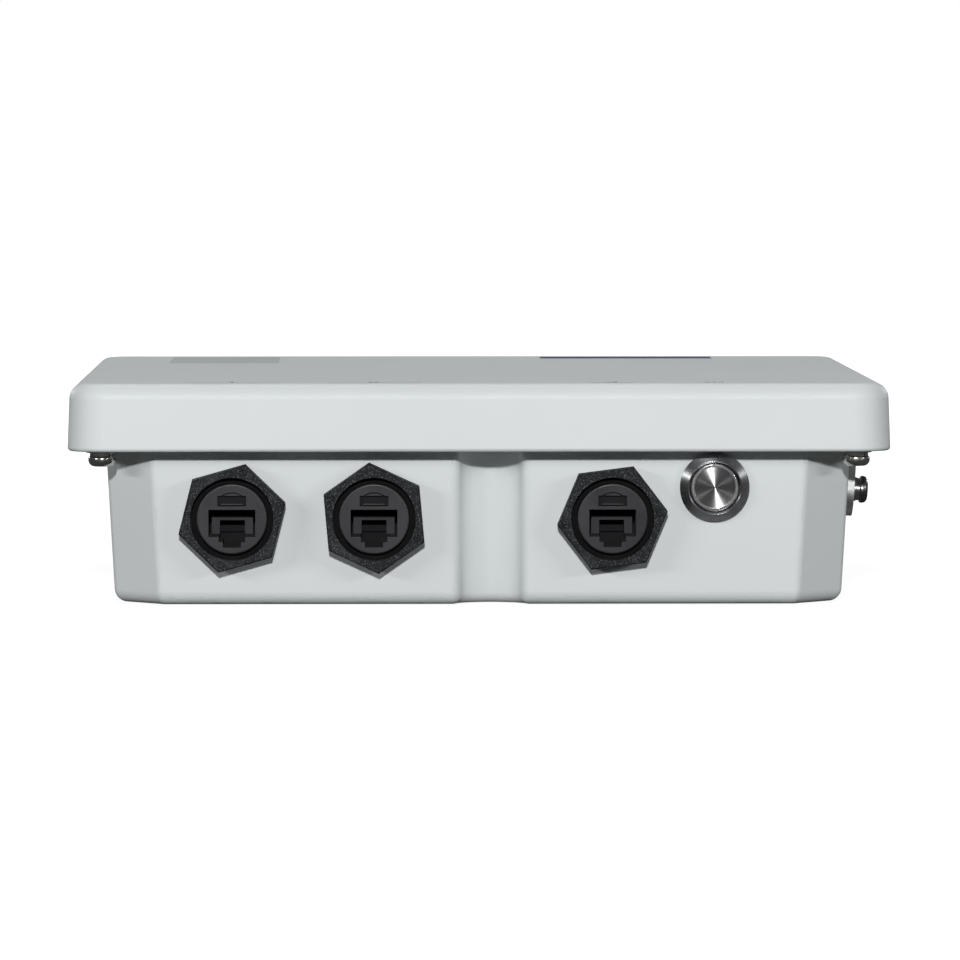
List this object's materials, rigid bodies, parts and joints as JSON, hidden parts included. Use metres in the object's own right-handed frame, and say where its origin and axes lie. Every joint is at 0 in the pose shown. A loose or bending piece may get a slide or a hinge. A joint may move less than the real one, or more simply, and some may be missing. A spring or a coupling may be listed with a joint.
{
  "type": "gateway enclosure",
  "caption": "Shallow light-grey electronics enclosure with an overhanging screwed cover, weatherproof network sockets and a metal push button on one end.",
  "frame": {"origin": "middle of the back face, on the plane that the box lies or is mounted on", "axes": "+X across the connector wall, to the right as seen from in front of it; +Y away from that wall; +Z out of the front cover"},
  "size_m": [0.21, 0.2, 0.057],
  "materials": {
    "enclosure_plastic": "fine spark-eroded texture, light grey",
    "gasket_rubber": "matt black",
    "stainless_steel": "bright, pan heads polished",
    "brass_insert": "knurled",
    "dark_print": "pad print",
    "blue_print": "pad print",
    "pale_label": "faint plain label",
    "black_nylon": "speckled glass-filled nylon",
    "dark_core_plastic": "satin black",
    "grey_plastic": "satin dark grey",
    "clear_grey_plastic": "clear moulding, stood in by pale grey",
    "gold_contact": "gold flash",
    "lead_jacket": "soft PVC",
    "earth_jacket": "green PVC",
    "black_gloss_plastic": "smooth black",
    "cream_plastic": "smooth",
    "dark_plated_steel": "dark nickel bevel",
    "spun_steel": "circular brushing",
    "spring_steel": "bright wire",
    "tinned_copper": "tin plate",
    "zinc_plate": "dull zinc",
    "green_laminate": "solder mask",
    "chip_epoxy": "moulded epoxy",
    "can_aluminium": "sleeve-free can",
    "green_plastic": "moulded terminal block"
  },
  "bodies": {
    "enclosure": {"base_shell": "enclosure_plastic", "cover_gasket": "gasket_rubber", "cover_screws": "stainless_steel", "cover_spring_washers": "stainless_steel", "cover_flat_washers": "stainless_steel", "mounting_inserts": "brass_insert", "port_gaskets": "gasket_rubber", "port_seals": "gasket_rubber", "port_nuts": "black_nylon", "port_contacts": "gold_contact", "port_inner_blocks": "grey_plastic", "patch_plugs": "clear_grey_plastic", "patch_leads": "lead_jacket", "board_jacks": "black_gloss_plastic", "port_1_flange": "black_nylon", "port_1_core": "dark_core_plastic", "port_2_flange": "black_nylon", "port_2_core": "dark_core_plastic", "port_3_flange": "black_nylon", "port_3_core": "dark_core_plastic", "button_bezel": "dark_plated_steel", "button_gasket": "gasket_rubber", "button_nut": "stainless_steel", "button_spring": "spring_steel", "button_switch_block": "black_gloss_plastic", "button_terminals": "tinned_copper", "button_wires": "lead_jacket", "board_header": "cream_plastic", "earth_bracket": "zinc_plate", "earth_screw": "stainless_steel", "earth_washers": "stainless_steel", "earth_nut": "stainless_steel", "earth_lug": "tinned_copper", "earth_lead": "earth_jacket", "earth_post": "tinned_copper", "controller_board": "green_laminate", "board_screws": "stainless_steel", "board_chips": "chip_epoxy", "board_capacitors": "can_aluminium", "radio_shield": "tinned_copper", "board_terminal_block": "green_plastic", "coin_cell_holder": "black_gloss_plastic", "coin_cell": "spring_steel"},
    "cover": {"front_cover": "enclosure_plastic", "cover_inserts": "brass_insert", "cover_marks": "dark_print", "cover_badge": "blue_print", "cover_label": "pale_label"},
    "button_plunger": {"button_cap": "spun_steel"}
  },
  "joints": [
    {"name": "button_press", "type": "slide", "parent": "enclosure", "child": "button_plunger", "axis": [0, 0.9984, 0.0558], "range_m": [0, 0.0022], "stiffness_N_per_m": 400, "springref_m": -0.004, "deforming": ["button_spring"]},
    {"name": "cover_lift", "type": "slide", "parent": "enclosure", "child": "cover", "axis": [0, 0, 1], "range_m": [0, 0.04]}
  ]
}
